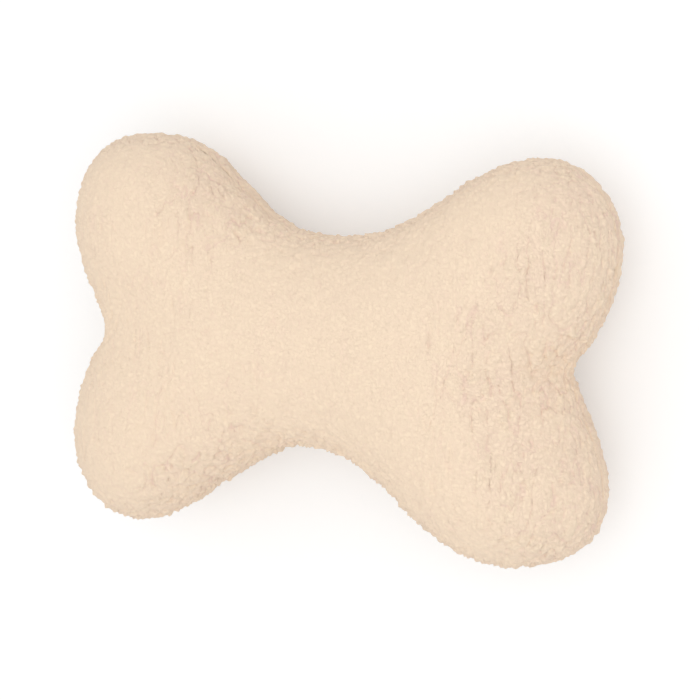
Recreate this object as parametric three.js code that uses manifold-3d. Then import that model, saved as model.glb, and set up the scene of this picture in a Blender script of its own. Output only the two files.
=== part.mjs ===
import * as THREE from 'three';
import { mergeVertices } from 'three/addons/utils/BufferGeometryUtils.js';
import Module from 'manifold-3d';

// A bone-shaped stuffed dog toy in sherpa fleece, lying on its back panel.
// Two bone-shaped panels are sewn together face to face, turned and stuffed.
// Millimetres. +X runs along the bone, +Y across it and +Z up through its thickness.

// The stuffed form: a shaft and four knobs, each a dome that runs into its neighbours
const SHAFT_HALF_LENGTH = 60;
const SHAFT_HALF_WIDTH = 39.7;
const SHAFT_CROWN = 31.5;
const SHAFT_RISE = 3.4;
const KNOB_REACH = 80.5;
const KNOB_RISE = 43;
const KNOB_RADIUS = 34;
const KNOB_CROWN = 31.7;
const BLEND = 38;
const NOTCH_REACH = 101.5;
const NOTCH_PULL = 14.5;
const NOTCH_WIDTH = 8;
const SWELL_PUSH = 12;
const SWELL_WIDTH = 15;
const REST_FLAT = 0.5;

// Sherpa fleece: its backing and pile, and the seam that joins the panels
const FLEECE = 3;
const ALLOWANCE_WIDTH = 7;
const ALLOWANCE_THICKNESS = 1.6;
const SEAM_GROOVE = 1.4;

// The gap left between pieces that touch
const SEAT = 0.3;

// Fibre filling: how deep each knob's wad reaches towards the shaft
const KNOB_WAD_DEPTH = 24;

// Squeaker bulb: a blown disc with a round edge, a parting fin and a neck
const BULB_RADIUS = 22;
const BULB_HALF_THICKNESS = 12;
const BULB_WALL = 0.9;
const FIN_WIDTH = 1.2;
const FIN_THICKNESS = 0.8;
const NECK_LENGTH = 8;

// Whistle: a flanged sleeve that holds a toneboard, a reed and a wedge
const SLEEVE_BORE_RADIUS = 3.6;
const SLEEVE_WALL = 0.8;
const SLEEVE_LENGTH = 13;
const FLANGE_WIDTH = 1.6;
const FLANGE_THICKNESS = 1.2;
const TONEBOARD_LENGTH = 12;
const CHANNEL_WIDTH = 2.4;
const CHANNEL_DEPTH = 1.5;
const CHANNEL_LENGTH = 9.5;
const TIP_RELIEF = 0.7;
const TIP_LENGTH = 4.5;
const WEDGE_LENGTH = 4;
const REED_LENGTH = 10.5;
const REED_WIDTH = 4.4;
const REED_THICKNESS = 0.35;

// Hand sewing and stuffing leave each knob a little different from the others
const knobShares = [
  { name: 'top_right', reach: 0.985, rise: 0.987, across: 0.938, along: 1.107, crown: 0.96, turn: -14 },
  { name: 'top_left', reach: -1.05, rise: 1.081, across: 0.895, along: 0.982, crown: 1.08, turn: -25 },
  { name: 'bottom_left', reach: -1.01, rise: -0.845, across: 0.928, along: 1.247, crown: 1.08, turn: -17 },
  { name: 'bottom_right', reach: 0.938, rise: -1.026, across: 1.036, along: 0.91, crown: 0.97, turn: -8 },
];
const notchShares = [
  { reach: 0.903, rise: 0.071, pull: 0.944 },
  { reach: -1.017, rise: 0, pull: 1.124 },
];

// Where packed fibre pushes the seam out: in both corners between the shaft and the left
// knobs, and at the far corners of two knobs
const swellShares = [
  { reach: -0.523, rise: 1.195, push: 0.8 },
  { reach: -0.477, rise: -1.093, push: 1.042 },
  { reach: -1.323, rise: 1.679, push: 1.317 },
  { reach: 1.376, rise: -1.458, push: 0.85 },
];

// How finely the forms are drawn
const SPINE_SHARE = 0.867;
const FAN_STEPS = 26;
const SPINE_STEPS = 10;
const CROWN_STEPS = 7;
const RIM_DEGREES = 80;
const ROUND_STEPS = 24;
const HALVINGS = 40;

const wasm = await Module();
wasm.setup();

const shaftEnd = KNOB_REACH + 2 * KNOB_RADIUS;
const workSpan = 4 * shaftEnd;
const spineEnd = SPINE_SHARE * SHAFT_HALF_LENGTH;

const knobs = knobShares.map((share) => ({
  name: share.name,
  x: share.reach * KNOB_REACH,
  y: share.rise * KNOB_RISE,
  acrossRadius: share.across * KNOB_RADIUS,
  alongRadius: share.along * KNOB_RADIUS,
  crown: share.crown * KNOB_CROWN,
  cos: Math.cos(THREE.MathUtils.degToRad(share.turn)),
  sin: Math.sin(THREE.MathUtils.degToRad(share.turn)),
}));

// Spots that change the square of the half thickness: notches draw it in and swells push it out
const spots = [
  ...notchShares.map((share) => ({
    x: share.reach * NOTCH_REACH,
    y: share.rise * KNOB_RISE,
    square: -((share.pull * NOTCH_PULL) ** 2),
    width: NOTCH_WIDTH,
  })),
  ...swellShares.map((share) => ({
    x: share.reach * KNOB_REACH,
    y: share.rise * KNOB_RISE,
    square: (share.push * SWELL_PUSH) ** 2,
    width: SWELL_WIDTH,
  })),
];

// One dome: the square of its half thickness at (x, y), and how that changes along X and Y
function shaftDome(x, y) {
  const crownSquare = SHAFT_CROWN ** 2;
  const along = x / SHAFT_HALF_LENGTH;
  const across = (y - SHAFT_RISE) / SHAFT_HALF_WIDTH;
  return {
    square: crownSquare * (1 - along ** 4 - across ** 2),
    slopeX: (-4 * crownSquare * along ** 3) / SHAFT_HALF_LENGTH,
    slopeY: (-2 * crownSquare * across) / SHAFT_HALF_WIDTH,
  };
}

function knobDome(knob, x, y) {
  const crownSquare = knob.crown ** 2;
  const dx = x - knob.x;
  const dy = y - knob.y;
  const u = (knob.cos * dx + knob.sin * dy) / knob.acrossRadius;
  const v = (knob.cos * dy - knob.sin * dx) / knob.alongRadius;
  return {
    square: crownSquare * (1 - u * u - v * v),
    slopeX: -2 * crownSquare * ((u * knob.cos) / knob.acrossRadius - (v * knob.sin) / knob.alongRadius),
    slopeY: -2 * crownSquare * ((u * knob.sin) / knob.acrossRadius + (v * knob.cos) / knob.alongRadius),
  };
}

// The whole stuffed form at (x, y): the domes run together, changed by the spots
function stuffedForm(x, y) {
  const domes = [shaftDome(x, y), ...knobs.map((knob) => knobDome(knob, x, y))];
  const highest = Math.max(...domes.map((dome) => dome.square));
  const weights = domes.map((dome) => Math.exp((dome.square - highest) / BLEND ** 2));
  const total = weights.reduce((sum, weight) => sum + weight, 0);
  const form = { square: highest + BLEND ** 2 * Math.log(total), slopeX: 0, slopeY: 0 };
  domes.forEach((dome, i) => {
    form.slopeX += (weights[i] / total) * dome.slopeX;
    form.slopeY += (weights[i] / total) * dome.slopeY;
  });
  for (const spot of spots) {
    const dx = x - spot.x;
    const dy = y - spot.y;
    const change = spot.square * Math.exp(-(dx * dx + dy * dy) / spot.width ** 2);
    form.square += change;
    form.slopeX -= (2 * change * dx) / spot.width ** 2;
    form.slopeY -= (2 * change * dy) / spot.width ** 2;
  }
  return form;
}

// The seam outline is where the half thickness falls to nothing, found along spokes that
// leave the shaft's spine square to it, and fan out from the spine's two ends
function outlineDistance(startX, dirX, dirY) {
  const coarse = KNOB_RADIUS / ROUND_STEPS;
  let outside = shaftEnd;
  const squareAt = (distance) => stuffedForm(startX + dirX * distance, dirY * distance).square;
  while (outside > coarse && squareAt(outside) < 0) outside -= coarse;
  let inside = outside;
  outside += coarse;
  for (let i = 0; i < HALVINGS; i += 1) {
    const middle = (inside + outside) / 2;
    if (squareAt(middle) > 0) inside = middle;
    else outside = middle;
  }
  return inside;
}

function makeSpoke(startX, degrees) {
  const angle = THREE.MathUtils.degToRad(degrees);
  const dirX = Math.cos(angle);
  const dirY = Math.sin(angle);
  const distance = outlineDistance(startX, dirX, dirY);
  const edgeX = startX + dirX * distance;
  const edgeY = dirY * distance;
  const { slopeX, slopeY } = stuffedForm(edgeX, edgeY);
  const steepness = Math.hypot(slopeX, slopeY);
  const outX = -slopeX / steepness;
  const outY = -slopeY / steepness;
  return { startX, dirX, dirY, distance, edgeX, edgeY, outX, outY };
}

function makeSpokes() {
  const fan = (end, degrees) => Array.from({ length: FAN_STEPS + 1 }, (_, i) => (
    makeSpoke(end, degrees + (180 * i) / FAN_STEPS)));
  const side = (end, degrees) => Array.from({ length: SPINE_STEPS - 1 }, (_, i) => (
    makeSpoke(end * (1 - (2 * (i + 1)) / SPINE_STEPS), degrees)));
  return [...fan(spineEnd, -90), ...side(spineEnd, 90), ...fan(-spineEnd, 90), ...side(-spineEnd, -90)];
}

const spokes = makeSpokes();

// The toy stands on the fullest part of each end, and is centred over its outline
function fullestHeight(end) {
  const standing = spokes.filter((spoke) => spoke.startX * end > 0);
  const points = standing.flatMap((spoke) => [sunkPoint(spoke.startX, 0, 0), ...crownPoints(spoke, 0)]);
  return Math.max(...points.map((point) => point.z));
}

const seamHeight = Math.min(fullestHeight(-1), fullestHeight(1)) - REST_FLAT;
const edgeXs = spokes.map((spoke) => spoke.edgeX);
const edgeYs = spokes.map((spoke) => spoke.edgeY);
const centreX = (Math.min(...edgeXs) + Math.max(...edgeXs)) / 2;
const centreY = (Math.min(...edgeYs) + Math.max(...edgeYs)) / 2;

// A point that lies in the form's own surface, sunk by depth along the surface's normal
function sunkPoint(x, y, depth) {
  const form = stuffedForm(x, y);
  const height = Math.sqrt(Math.max(form.square, 0));
  const normal = new THREE.Vector3(-form.slopeX, -form.slopeY, 2 * height).normalize();
  return new THREE.Vector3(x, y, height).addScaledVector(normal, -depth);
}

// The points along one spoke from the spine to the rim, sunk by depth
function crownPoints(spoke, depth) {
  const points = [];
  for (let step = 1; step <= CROWN_STEPS; step += 1) {
    const run = spoke.distance * Math.sin(THREE.MathUtils.degToRad((RIM_DEGREES * step) / CROWN_STEPS));
    points.push(sunkPoint(spoke.startX + spoke.dirX * run, spoke.dirY * run, depth));
  }
  return points;
}

// A point near the seam, inside the outline by inset and above the seam by height
function rimPoint(spoke, inset, height) {
  return new THREE.Vector3(spoke.edgeX - spoke.outX * inset, spoke.edgeY - spoke.outY * inset, height);
}

const mirrored = (point) => new THREE.Vector3(point.x, point.y, -point.z);

// A closed body from one run of points on every spoke. The run starts beside the first pole
// row on the spine and ends beside the last one. side is 1, or -1 to mirror it below the seam.
// Each four-sided patch is split along its shorter diagonal
function spokedBody(runOf, firstPole, lastPole, side) {
  const positions = [];
  const indices = [];
  const put = (point) => {
    positions.push(point.x - centreX, point.y - centreY, seamHeight + side * point.z);
    return positions.length / 3 - 1;
  };
  const face = (a, b, c) => (side > 0 ? indices.push(a, b, c) : indices.push(a, c, b));
  const along = (a, b, axis) => positions[3 * a + axis] - positions[3 * b + axis];
  const apart = (a, b) => Math.hypot(along(a, b, 0), along(a, b, 1), along(a, b, 2));
  const runs = spokes.map((spoke) => runOf(spoke).map(put));
  const poleRow = (poleOf) => {
    const byStart = new Map();
    return spokes.map(({ startX }) => {
      const key = Math.round(startX / SEAT);
      if (!byStart.has(key)) byStart.set(key, put(poleOf(startX)));
      return byStart.get(key);
    });
  };
  const first = poleRow(firstPole);
  const last = poleRow(lastPole);
  for (let i = 0; i < spokes.length; i += 1) {
    const j = (i + 1) % spokes.length;
    const end = runs[i].length - 1;
    face(first[i], runs[i][0], runs[j][0]);
    if (first[i] !== first[j]) face(first[i], runs[j][0], first[j]);
    for (let s = 0; s < end; s += 1) {
      const [a, b, c, d] = [runs[i][s], runs[i][s + 1], runs[j][s + 1], runs[j][s]];
      if (apart(a, c) < apart(b, d)) {
        face(a, b, c);
        face(a, c, d);
      } else {
        face(a, b, d);
        face(b, c, d);
      }
    }
    face(last[i], runs[j][end], runs[i][end]);
    if (last[i] !== last[j]) face(last[i], last[j], runs[j][end]);
  }
  const geometry = new THREE.BufferGeometry();
  geometry.setAttribute('position', new THREE.Float32BufferAttribute(positions, 3));
  geometry.setIndex(indices);
  return geometry;
}

// Solids for joining and cutting
function toSolid(geometry) {
  const bare = geometry.clone();
  bare.deleteAttribute('normal');
  bare.deleteAttribute('uv');
  const merged = mergeVertices(bare, SEAT / 1000);
  const vertProperties = Float32Array.from(merged.attributes.position.array);
  const triVerts = Uint32Array.from(merged.index.array);
  return new wasm.Manifold(new wasm.Mesh({ numProp: 3, vertProperties, triVerts }));
}

function toGeometry(solid) {
  const mesh = solid.getMesh();
  const geometry = new THREE.BufferGeometry();
  const positions = Float32Array.from(mesh.vertProperties);
  geometry.setAttribute('position', new THREE.Float32BufferAttribute(positions, 3));
  geometry.setIndex(Array.from(mesh.triVerts));
  return geometry;
}

// Everything on the far side of a plane that faces along degrees in the XY plane
function beyondPlane(x, y, degrees) {
  const block = new THREE.BoxGeometry(workSpan, workSpan, workSpan);
  block.translate(workSpan / 2, 0, 0);
  block.rotateZ(THREE.MathUtils.degToRad(degrees));
  block.translate(x - centreX, y - centreY, seamHeight);
  return toSolid(block);
}

// Everything above a height, or below it with side -1
function beyondHeight(height, side) {
  const block = new THREE.BoxGeometry(workSpan, workSpan, workSpan);
  block.translate(0, 0, height + (side * workSpan) / 2);
  return toSolid(block);
}

function lathe(profile) {
  const points = profile.map(([radius, height]) => new THREE.Vector2(radius, height));
  return new THREE.LatheGeometry(points, ROUND_STEPS);
}

// A turned shape laid with its axis along +X at the middle of the toy
function alongX(profile) {
  const geometry = lathe(profile);
  geometry.rotateZ(-Math.PI / 2);
  geometry.translate(-centreX, -centreY, seamHeight);
  return geometry;
}

// The two fleece panels. Each run goes over the pile, down into the seam groove, in along
// the turned seam allowance, back over it and up the inside of the fleece
function panelRun(spoke) {
  const outer = crownPoints(spoke, 0);
  const inner = crownPoints(spoke, FLEECE).reverse();
  const low = SEAT / 2;
  const high = low + ALLOWANCE_THICKNESS;
  return [
    ...outer,
    rimPoint(spoke, 0, low + SEAM_GROOVE),
    rimPoint(spoke, SEAM_GROOVE, low),
    rimPoint(spoke, FLEECE + ALLOWANCE_WIDTH, low),
    rimPoint(spoke, FLEECE + ALLOWANCE_WIDTH, high),
    rimPoint(spoke, FLEECE, high),
    ...inner,
  ];
}

function panel(side) {
  return spokedBody(panelRun, (x) => sunkPoint(x, 0, 0), (x) => sunkPoint(x, 0, FLEECE), side);
}

function backPanel() {
  return toGeometry(toSolid(panel(-1)).intersect(beyondHeight(0, 1)));
}

// The fibre that fills the cover, cut into wads. It keeps clear of the seam allowances
function fillingRun(spoke) {
  const top = crownPoints(spoke, FLEECE + SEAT);
  const height = SEAT / 2 + ALLOWANCE_THICKNESS + SEAT;
  const rim = [FLEECE + SEAT, FLEECE + ALLOWANCE_WIDTH + SEAT].map((inset) => rimPoint(spoke, inset, height));
  return [...top, ...rim, ...rim.map(mirrored).reverse(), ...top.map(mirrored).reverse()];
}

function wholeFilling() {
  const pole = (x) => sunkPoint(x, 0, FLEECE + SEAT);
  return toSolid(spokedBody(fillingRun, pole, (x) => mirrored(pole(x)), 1));
}

// Where a knob's wad meets the shaft's fibre, drawn back by gap
function behindNeck(knob, gap) {
  const distance = Math.hypot(knob.x, knob.y);
  const share = (distance - KNOB_WAD_DEPTH - gap) / distance;
  const degrees = THREE.MathUtils.radToDeg(Math.atan2(knob.y, knob.x));
  return beyondPlane(share * knob.x, share * knob.y, degrees);
}

function knobFilling(filling, knob) {
  const half = beyondPlane(0, (Math.sign(knob.y) * SEAT) / 2, 90 * Math.sign(knob.y));
  return toGeometry(filling.intersect(behindNeck(knob, 0)).intersect(half));
}

function shaftFilling(filling, side) {
  let fibre = filling;
  for (const knob of knobs) fibre = fibre.subtract(behindNeck(knob, SEAT));
  const half = fibre.intersect(beyondHeight(seamHeight + (side * SEAT) / 2, side));
  return toGeometry(half.subtract(squeakerSpace()));
}

// The squeaker's shapes, grown by grow for the pocket that holds it
function discProfile(grow) {
  const edge = BULB_HALF_THICKNESS + grow;
  const flatRadius = BULB_RADIUS - BULB_HALF_THICKNESS;
  const steps = ROUND_STEPS / 2;
  const profile = [[0, -edge]];
  for (let i = 0; i <= steps; i += 1) {
    const angle = -Math.PI / 2 + (Math.PI * i) / steps;
    profile.push([flatRadius + edge * Math.cos(angle), edge * Math.sin(angle)]);
  }
  profile.push([0, edge]);
  return profile;
}

function disc(grow) {
  const geometry = lathe(discProfile(grow));
  geometry.rotateX(Math.PI / 2);
  geometry.translate(-centreX, -centreY, seamHeight);
  return toSolid(geometry);
}

function rod(radius, from, to) {
  return toSolid(alongX([[0, from], [radius, from], [radius, to], [0, to]]));
}

const sleeveRadius = SLEEVE_BORE_RADIUS + SLEEVE_WALL;
const neckBoreRadius = sleeveRadius + SEAT;
const neckRadius = neckBoreRadius + BULB_WALL;
const neckMouth = BULB_RADIUS + NECK_LENGTH;
const flangeInside = neckMouth + SEAT;
const sleeveMouth = flangeInside + FLANGE_THICKNESS;
const flangeRadius = neckRadius + FLANGE_WIDTH - BULB_WALL;

function partingFin(grow) {
  const radius = BULB_RADIUS + FIN_WIDTH + grow;
  const half = FIN_THICKNESS / 2 + grow;
  const geometry = lathe([[0, -half], [radius, -half], [radius, half], [0, half]]);
  geometry.rotateX(Math.PI / 2);
  geometry.translate(-centreX, -centreY, seamHeight);
  return toSolid(geometry);
}

function squeakerBulb() {
  const outside = disc(0).add(partingFin(0)).add(rod(neckRadius, 0, neckMouth));
  const inside = disc(-BULB_WALL).add(rod(neckBoreRadius, 0, neckMouth + BULB_WALL));
  return toGeometry(outside.subtract(inside));
}

function squeakerSpace() {
  const bulb = disc(SEAT).add(partingFin(SEAT)).add(rod(neckRadius + SEAT, 0, flangeInside));
  return bulb.add(rod(flangeRadius + SEAT, neckMouth - SEAT, sleeveMouth + SEAT));
}

function whistleSleeve() {
  const inner = sleeveMouth - SLEEVE_LENGTH;
  return alongX([
    [SLEEVE_BORE_RADIUS, inner],
    [sleeveRadius, inner],
    [sleeveRadius, flangeInside],
    [flangeRadius, flangeInside],
    [flangeRadius, sleeveMouth],
    [SLEEVE_BORE_RADIUS, sleeveMouth],
    [SLEEVE_BORE_RADIUS, inner],
  ]);
}

const toneboardRadius = SLEEVE_BORE_RADIUS - SEAT;
const bedHeight = -REED_THICKNESS / 2 - SEAT;
const toneboardTip = sleeveMouth - TONEBOARD_LENGTH;

// A slab of the whistle, from a side view in X and height about the reed, of a given width
function slab(sideView, width) {
  const shape = new THREE.Shape(sideView.map(([x, height]) => new THREE.Vector2(x, height)));
  const geometry = new THREE.ExtrudeGeometry(shape, { depth: width, bevelEnabled: false });
  geometry.rotateX(Math.PI / 2);
  geometry.translate(-centreX, width / 2 - centreY, seamHeight);
  return geometry;
}

function toneboard() {
  const bed = slab([
    [toneboardTip, -SLEEVE_BORE_RADIUS],
    [sleeveMouth, -SLEEVE_BORE_RADIUS],
    [sleeveMouth, bedHeight],
    [toneboardTip + TIP_LENGTH, bedHeight],
    [toneboardTip, bedHeight - TIP_RELIEF],
  ], 2 * SLEEVE_BORE_RADIUS);
  const channel = slab([
    [sleeveMouth - CHANNEL_LENGTH, bedHeight - CHANNEL_DEPTH],
    [sleeveMouth + SEAT, bedHeight - CHANNEL_DEPTH],
    [sleeveMouth + SEAT, bedHeight + SEAT],
    [sleeveMouth - CHANNEL_LENGTH, bedHeight + SEAT],
  ], CHANNEL_WIDTH);
  const round = rod(toneboardRadius, toneboardTip, sleeveMouth);
  return toGeometry(round.intersect(toSolid(bed)).subtract(toSolid(channel)));
}

function wedge() {
  const block = slab([
    [sleeveMouth - WEDGE_LENGTH, -bedHeight],
    [sleeveMouth, -bedHeight],
    [sleeveMouth, SLEEVE_BORE_RADIUS],
    [sleeveMouth - WEDGE_LENGTH, SLEEVE_BORE_RADIUS],
  ], 2 * SLEEVE_BORE_RADIUS);
  const round = rod(toneboardRadius, sleeveMouth - WEDGE_LENGTH, sleeveMouth);
  return toGeometry(round.intersect(toSolid(block)));
}

// The reed's free end is a half round, over the toneboard's relieved tip
function reed() {
  const halfWidth = REED_WIDTH / 2;
  const shape = new THREE.Shape();
  shape.moveTo(sleeveMouth, -halfWidth);
  shape.lineTo(sleeveMouth, halfWidth);
  shape.lineTo(sleeveMouth - REED_LENGTH + halfWidth, halfWidth);
  shape.absarc(sleeveMouth - REED_LENGTH + halfWidth, 0, halfWidth, Math.PI / 2, (3 * Math.PI) / 2, false);
  const geometry = new THREE.ExtrudeGeometry(shape, { depth: REED_THICKNESS, bevelEnabled: false });
  geometry.translate(-centreX, -centreY, seamHeight - REED_THICKNESS / 2);
  return geometry;
}

// Finishes
const finish = (color, roughness) => () => new THREE.MeshStandardMaterial({ color, roughness, metalness: 0 });
const sherpa = finish(0xf2ddc3, 1);
const fibre = finish(0xf7f7f5, 1);
const softPlastic = finish(0xe9ecea, 0.45);
const hardPlastic = finish(0xf4f4f2, 0.35);
const reedFilm = finish(0xd9dde0, 0.3);

const toy = new THREE.Group();
function addPiece(name, geometry, material) {
  const mesh = new THREE.Mesh(geometry, material);
  mesh.name = name;
  toy.add(mesh);
}

addPiece('front_panel', panel(1), sherpa());
addPiece('back_panel', backPanel(), sherpa());
const filling = wholeFilling();
for (const knob of knobs) addPiece(`filling_${knob.name}`, knobFilling(filling, knob), fibre());
addPiece('filling_front', shaftFilling(filling, 1), fibre());
addPiece('filling_back', shaftFilling(filling, -1), fibre());
addPiece('squeaker_bulb', squeakerBulb(), softPlastic());
addPiece('whistle_sleeve', whistleSleeve(), hardPlastic());
addPiece('whistle_toneboard', toneboard(), hardPlastic());
addPiece('whistle_wedge', wedge(), hardPlastic());
addPiece('whistle_reed', reed(), reedFilm());

export default toy;
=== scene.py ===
# %% [markdown]
# A bone-shaped dog toy in sherpa fleece, lying on a table.
# Such a toy is two fleece panels, sewn together inside out, turned, and stuffed with fibre,
# often round a plastic squeaker. The photograph shows only the outside, so the inside is a
# guess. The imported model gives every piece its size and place. Its soft solids could be shown
# as they are, but stuffed fabric has a swell and a pile that they lack, so the soft pieces
# are built anew on them here, and every piece gets its own finish.

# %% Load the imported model
import math

import bmesh
import bpy
import numpy as np
from mathutils import Matrix, Vector, noise


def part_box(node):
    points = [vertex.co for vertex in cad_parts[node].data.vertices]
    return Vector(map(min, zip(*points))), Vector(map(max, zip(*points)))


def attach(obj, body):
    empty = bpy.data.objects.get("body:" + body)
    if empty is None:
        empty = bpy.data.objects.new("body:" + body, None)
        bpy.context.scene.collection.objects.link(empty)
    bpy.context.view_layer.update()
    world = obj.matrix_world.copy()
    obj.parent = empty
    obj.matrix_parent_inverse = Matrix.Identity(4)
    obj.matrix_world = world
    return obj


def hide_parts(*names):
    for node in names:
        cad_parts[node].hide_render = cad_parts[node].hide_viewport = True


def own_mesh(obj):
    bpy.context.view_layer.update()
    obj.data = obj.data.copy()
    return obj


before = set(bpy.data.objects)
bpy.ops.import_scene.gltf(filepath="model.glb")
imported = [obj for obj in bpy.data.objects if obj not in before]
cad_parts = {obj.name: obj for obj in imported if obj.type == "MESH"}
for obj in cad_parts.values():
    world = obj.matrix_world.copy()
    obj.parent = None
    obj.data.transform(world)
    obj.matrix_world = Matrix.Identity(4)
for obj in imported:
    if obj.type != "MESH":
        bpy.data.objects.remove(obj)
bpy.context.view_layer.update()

MM = 0.001

# %% [markdown]
# The camera comes first, because it decides how much detail the fleece needs. The photograph
# looks down on the toy with its right end nearer. A camera could be aimed by eye, but angles
# that were found by laying the toy's outline over the photograph's fit better. It turns round
# the middle of the stuffed shape, and it is aimed a little beside it, as the photograph is.

# %% The camera
PHOTO_SIZE_PX = 700
FOCAL_LENGTH_PX = 2300
SENSOR_WIDTH_MM = 36
CLIP_NEAR, CLIP_FAR = 0.05, 20
CAMERA_DISTANCE = 900 * MM
VIEW_YAW, VIEW_PITCH, VIEW_ROLL = (math.radians(angle) for angle in (-24.9, 7.7, -2.6))
AIM_RIGHT, AIM_UP = 3.7 * MM, -0.2 * MM

seam_height = (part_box("front_panel")[0].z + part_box("back_panel")[1].z) / 2
bulb_low, bulb_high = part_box("squeaker_bulb")
bulb_reach = (bulb_high.y - bulb_low.y) / 2
toy_middle = Vector((bulb_low.x + bulb_reach, bulb_low.y + bulb_reach, seam_height))


def object_from(data, name):
    """An object at the origin that shows the data, linked to the scene."""
    piece = bpy.data.objects.new(name, data)
    bpy.context.scene.collection.objects.link(piece)
    return piece


def add_camera():
    """A long lens that sees the toy as the photograph does."""
    turn = (Matrix.Rotation(VIEW_ROLL, 3, "Z") @ Matrix.Rotation(VIEW_PITCH, 3, "X")
            @ Matrix.Rotation(VIEW_YAW, 3, "Y")).transposed()
    right, up, back = turn.col
    location = toy_middle + back * CAMERA_DISTANCE
    aim = toy_middle + right * AIM_RIGHT + up * AIM_UP
    backward = (location - aim).normalized()
    sideways = up.cross(backward).normalized()
    facing = Matrix((sideways, backward.cross(sideways), backward)).transposed()
    data = bpy.data.cameras.new("photo_camera")
    data.sensor_width = SENSOR_WIDTH_MM
    data.lens = FOCAL_LENGTH_PX / PHOTO_SIZE_PX * SENSOR_WIDTH_MM
    data.clip_start, data.clip_end = CLIP_NEAR, CLIP_FAR
    camera = object_from(data, "photo_camera")
    camera.matrix_world = Matrix.Translation(location) @ facing.to_4x4()
    bpy.context.scene.camera = camera
    return camera


camera = add_camera()
print("Camera lens in mm:", round(camera.data.lens, 1))

# %% [markdown]
# Floor, light, relief and finishes are all made of nodes. Adding and linking nodes one by one
# makes long scripts, so a few small helpers make a node, set it and link it in one line.

# %% Helpers for nodes
def join(tree, value, socket):
    """Links an output to the socket, or sets the socket to a number or a colour."""
    if isinstance(value, bpy.types.NodeSocket):
        tree.links.new(value, socket)
    else:
        socket.default_value = value


def add_node(tree, kind, *values, **settings):
    """A node of that kind with its settings, and its first inputs linked or set in order."""
    node = tree.nodes.new(kind)
    for name, value in settings.items():
        setattr(node, name, value)
    shown = [socket for socket in node.inputs if socket.enabled]
    for socket, value in zip(shown, values):
        join(tree, value, socket)
    return node


def maths(tree, operation, *values):
    """The output of a Math node."""
    return add_node(tree, "ShaderNodeMath", *values, operation=operation).outputs[0]


def vectors(tree, operation, *values):
    """The output of a Vector Math node."""
    return add_node(tree, "ShaderNodeVectorMath", *values, operation=operation).outputs[0]


def axis_value(tree, vector, axis):
    """The vector's X, Y or Z."""
    return add_node(tree, "ShaderNodeSeparateXYZ", vector).outputs[axis]


def smooth_step(tree, value, low, high, to_low=0.0, to_high=1.0):
    """A value that eases from one level to the other while the input goes from low to high."""
    node = add_node(tree, "ShaderNodeMapRange", value, low, high, to_low, to_high,
                    interpolation_type="SMOOTHSTEP")
    return node.outputs["Result"]


def noise_value(tree, place, size, detail=2.0, roughness=0.5):
    """The grey output of a noise whose lumps are about that large."""
    return add_node(tree, "ShaderNodeTexNoise", place, 1 / size, detail, roughness).outputs[0]


def mixed_colour(tree, share, first, second):
    """The first colour with that share of the second mixed in."""
    mix = add_node(tree, "ShaderNodeMix", data_type="RGBA")
    join(tree, share, mix.inputs["Factor"])
    join(tree, first, mix.inputs["A"])
    join(tree, second, mix.inputs["B"])
    return mix.outputs["Result"]


def add_sockets(group, direction, **kinds):
    """Gives a node group inputs or outputs of those names and kinds."""
    for name, kind in kinds.items():
        group.interface.new_socket(name, in_out=direction, socket_type="NodeSocket" + kind)


def new_material(name):
    """A new material, with its node tree and its surface shader."""
    material = bpy.data.materials.new(name)
    material.use_nodes = True
    return material, material.node_tree, material.node_tree.nodes["Principled BSDF"]


print("Helpers for nodes are ready")

# %% [markdown]
# The toy lies on white paper. Bright paper throws light back under the toy and makes its rims
# as light as its top, and the photograph's rims are darker. So the paper is only pale, and a
# little white of its own, seen by the camera alone, makes it as white as the photograph's
# background. It still takes the toy's shadow.

# %% The floor
FLOOR_SIDE = 30.0
FLOOR_COLOUR = (0.8, 0.8, 0.8, 1)
FLOOR_GLOW = 0.24


def paper_material():
    """Pale paper that shows as white to the camera and still takes a shadow."""
    material, tree, _ = new_material("white_paper")
    tree.nodes.clear()
    paper = add_node(tree, "ShaderNodeBsdfDiffuse", FLOOR_COLOUR)
    seen = add_node(tree, "ShaderNodeLightPath").outputs["Is Camera Ray"]
    glow = add_node(tree, "ShaderNodeEmission")
    join(tree, maths(tree, "MULTIPLY", seen, FLOOR_GLOW), glow.inputs["Strength"])
    both = add_node(tree, "ShaderNodeAddShader", paper.outputs[0], glow.outputs[0])
    add_node(tree, "ShaderNodeOutputMaterial", both.outputs[0])
    return material


def add_floor():
    """A flat sheet of paper under the toy."""
    shape = bmesh.new()
    bmesh.ops.create_grid(shape, x_segments=1, y_segments=1, size=FLOOR_SIDE / 2)
    mesh = bpy.data.meshes.new("floor")
    shape.to_mesh(mesh)
    shape.free()
    mesh.materials.append(paper_material())
    floor = object_from(mesh, "floor")
    return floor


floor = add_floor()
print("Floor in metres:", [round(side) for side in floor.dimensions])

# %% [markdown]
# The photograph's light is soft and comes from the front. Several lamps could give that, but
# a world that is a little brighter overhead lights a pale toy more evenly, and one large weak
# lamp near the camera is enough to model the four knobs.

# %% World and lamp
SKY_TOP, SKY_EDGE = 0.93, 0.91
KEY_WATTS = 1.49
KEY_SIZE = 0.7
KEY_PLACE = Vector((0.32, 0.0, 0.87))
WHITE = (1, 1, 1, 1)


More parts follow.
